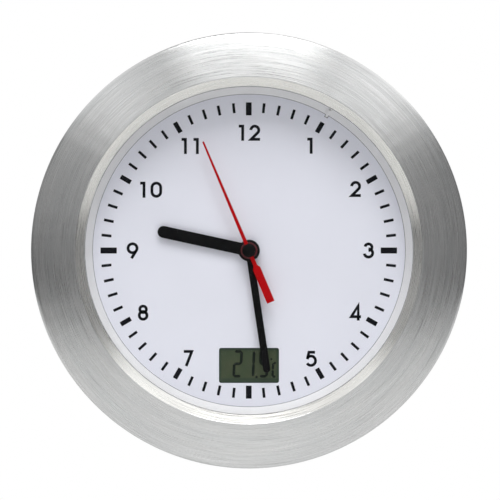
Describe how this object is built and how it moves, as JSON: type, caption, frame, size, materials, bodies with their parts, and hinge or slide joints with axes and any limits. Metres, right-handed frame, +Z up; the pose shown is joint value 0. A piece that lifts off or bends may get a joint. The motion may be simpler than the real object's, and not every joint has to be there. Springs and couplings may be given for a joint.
{
  "type": "wall clock",
  "caption": "Round radio-controlled bathroom wall clock with a wide brushed metal bezel, a pale dial, a temperature display window, suction cups and a keyhole hanger.",
  "frame": {"origin": "on the axis of the hands, in the plane of the wall that the suction cups press on", "axes": "+Z up toward twelve o'clock, +X toward three o'clock, +Y into the wall, so the dial faces -Y"},
  "size_m": [0.17, 0.0415, 0.17],
  "materials": {
    "brushed_aluminium": "circular brushed satin",
    "clear_glass": "polished",
    "white_plastic": "fine satin",
    "dial_print": "matt print",
    "housing_plastic": "fine spark texture",
    "black_rubber": "matt",
    "cup_rubber": "glossy translucent",
    "zinc_steel": "zinc plated",
    "motor_iron": "plain",
    "movement_plastic": "moulded",
    "gear_plastic": "moulded",
    "circuit_green": "solder lacquer",
    "copper_wire": "enamelled",
    "ferrite": "matt sintered",
    "hand_black": "satin paint",
    "hand_red": "satin paint",
    "display_glass": "polished",
    "battery_wrap": "printed film",
    "button_grey": "moulded"
  },
  "bodies": {
    "case": {"bezel": "brushed_aluminium", "lens": "clear_glass", "inner_ring": "white_plastic", "dial": "dial_print", "back_housing": "housing_plastic", "lens_gasket": "black_rubber", "housing_seal": "black_rubber", "display_connector": "black_rubber", "suction_cup_1": "cup_rubber", "suction_cup_2": "cup_rubber", "suction_cup_3": "cup_rubber", "suction_cup_4": "cup_rubber", "case_screw_1": "zinc_steel", "case_screw_2": "zinc_steel", "case_screw_3": "zinc_steel", "case_screw_4": "zinc_steel", "hanger_screw_1": "zinc_steel", "hanger_screw_2": "zinc_steel", "movement_screw_1": "zinc_steel", "movement_screw_2": "zinc_steel", "display_screw_1": "zinc_steel", "display_screw_2": "zinc_steel", "hanger_plate": "zinc_steel", "contact_positive": "zinc_steel", "contact_negative": "zinc_steel", "quartz_crystal": "zinc_steel", "seconds_stator": "motor_iron", "minutes_stator": "motor_iron", "movement_base": "movement_plastic", "movement_cover": "movement_plastic", "display_holder": "movement_plastic", "receiver_chip": "movement_plastic", "temperature_sensor": "movement_plastic", "circuit_board": "circuit_green", "display_board": "circuit_green", "seconds_coil": "copper_wire", "minutes_coil": "copper_wire", "antenna_coil": "copper_wire", "display_wire_1": "copper_wire", "display_wire_2": "copper_wire", "ferrite_rod": "ferrite", "display_glass": "display_glass", "battery": "battery_wrap"},
    "second_hand": {"second_hand": "hand_red", "hand_cap": "hand_black", "seconds_wheel": "gear_plastic"},
    "minute_hand": {"minute_hand": "hand_black", "minute_wheel": "gear_plastic"},
    "hour_hand": {"hour_hand": "hand_black", "hour_wheel": "gear_plastic"},
    "motion_wheel": {"motion_wheel": "gear_plastic"},
    "seconds_idler": {"seconds_idler_wheel": "gear_plastic"},
    "seconds_rotor": {"seconds_rotor": "motor_iron"},
    "minute_idler": {"minute_idler_wheel": "gear_plastic"},
    "minutes_rotor": {"minutes_rotor": "motor_iron"},
    "battery_door": {"battery_door": "housing_plastic", "door_seal": "black_rubber"},
    "set_button": {"set_button": "button_grey"},
    "receive_button": {"receive_button": "button_grey"},
    "reset_button": {"reset_button": "button_grey"}
  },
  "joints": [
    {"name": "second_hand_spin", "type": "hinge", "parent": "case", "child": "second_hand", "pos_m": [0, 0, 0], "axis": [0, 1, 0], "continuous": true},
    {"name": "minute_hand_spin", "type": "hinge", "parent": "case", "child": "minute_hand", "pos_m": [0, 0, 0], "axis": [0, 1, 0], "continuous": true},
    {"name": "hour_hand_spin", "type": "hinge", "parent": "case", "child": "hour_hand", "pos_m": [0, 0, 0], "axis": [0, 1, 0], "continuous": true},
    {"name": "motion_wheel_spin", "type": "hinge", "parent": "case", "child": "motion_wheel", "pos_m": [0, 0, 0.008], "axis": [0, 1, 0], "continuous": true},
    {"name": "seconds_idler_spin", "type": "hinge", "parent": "case", "child": "seconds_idler", "pos_m": [0.01075, 0, 0.0019], "axis": [0, 1, 0], "continuous": true},
    {"name": "seconds_rotor_spin", "type": "hinge", "parent": "case", "child": "seconds_rotor", "pos_m": [0.0181, 0, -0.00153], "axis": [0, 1, 0], "continuous": true},
    {"name": "minute_idler_spin", "type": "hinge", "parent": "case", "child": "minute_idler", "pos_m": [-0.00885, 0, 0.00619], "axis": [0, 1, 0], "continuous": true},
    {"name": "minutes_rotor_spin", "type": "hinge", "parent": "case", "child": "minutes_rotor", "pos_m": [-0.0175, 0, 0.00079], "axis": [0, 1, 0], "continuous": true},
    {"name": "battery_door_lift", "type": "slide", "parent": "case", "child": "battery_door", "axis": [0, 1, 0], "range_m": [0, 0.025]},
    {"name": "set_button_press", "type": "slide", "parent": "case", "child": "set_button", "axis": [0, -1, 0], "range_m": [0, 0.0007], "stiffness_N_per_m": 700},
    {"name": "receive_button_press", "type": "slide", "parent": "case", "child": "receive_button", "axis": [0, -1, 0], "range_m": [0, 0.0007], "stiffness_N_per_m": 700},
    {"name": "reset_button_press", "type": "slide", "parent": "case", "child": "reset_button", "axis": [0, -1, 0], "range_m": [0, 0.0007], "stiffness_N_per_m": 700}
  ],
  "couplings": [
    {"joint": "seconds_idler_spin", "follows": "second_hand_spin", "ratio": -6},
    {"joint": "seconds_rotor_spin", "follows": "second_hand_spin", "ratio": 30},
    {"joint": "minute_idler_spin", "follows": "minute_hand_spin", "ratio": -8},
    {"joint": "minutes_rotor_spin", "follows": "minute_hand_spin", "ratio": 60},
    {"joint": "motion_wheel_spin", "follows": "minute_hand_spin", "ratio": -0.33333},
    {"joint": "hour_hand_spin", "follows": "minute_hand_spin", "ratio": 0.083333}
  ]
}
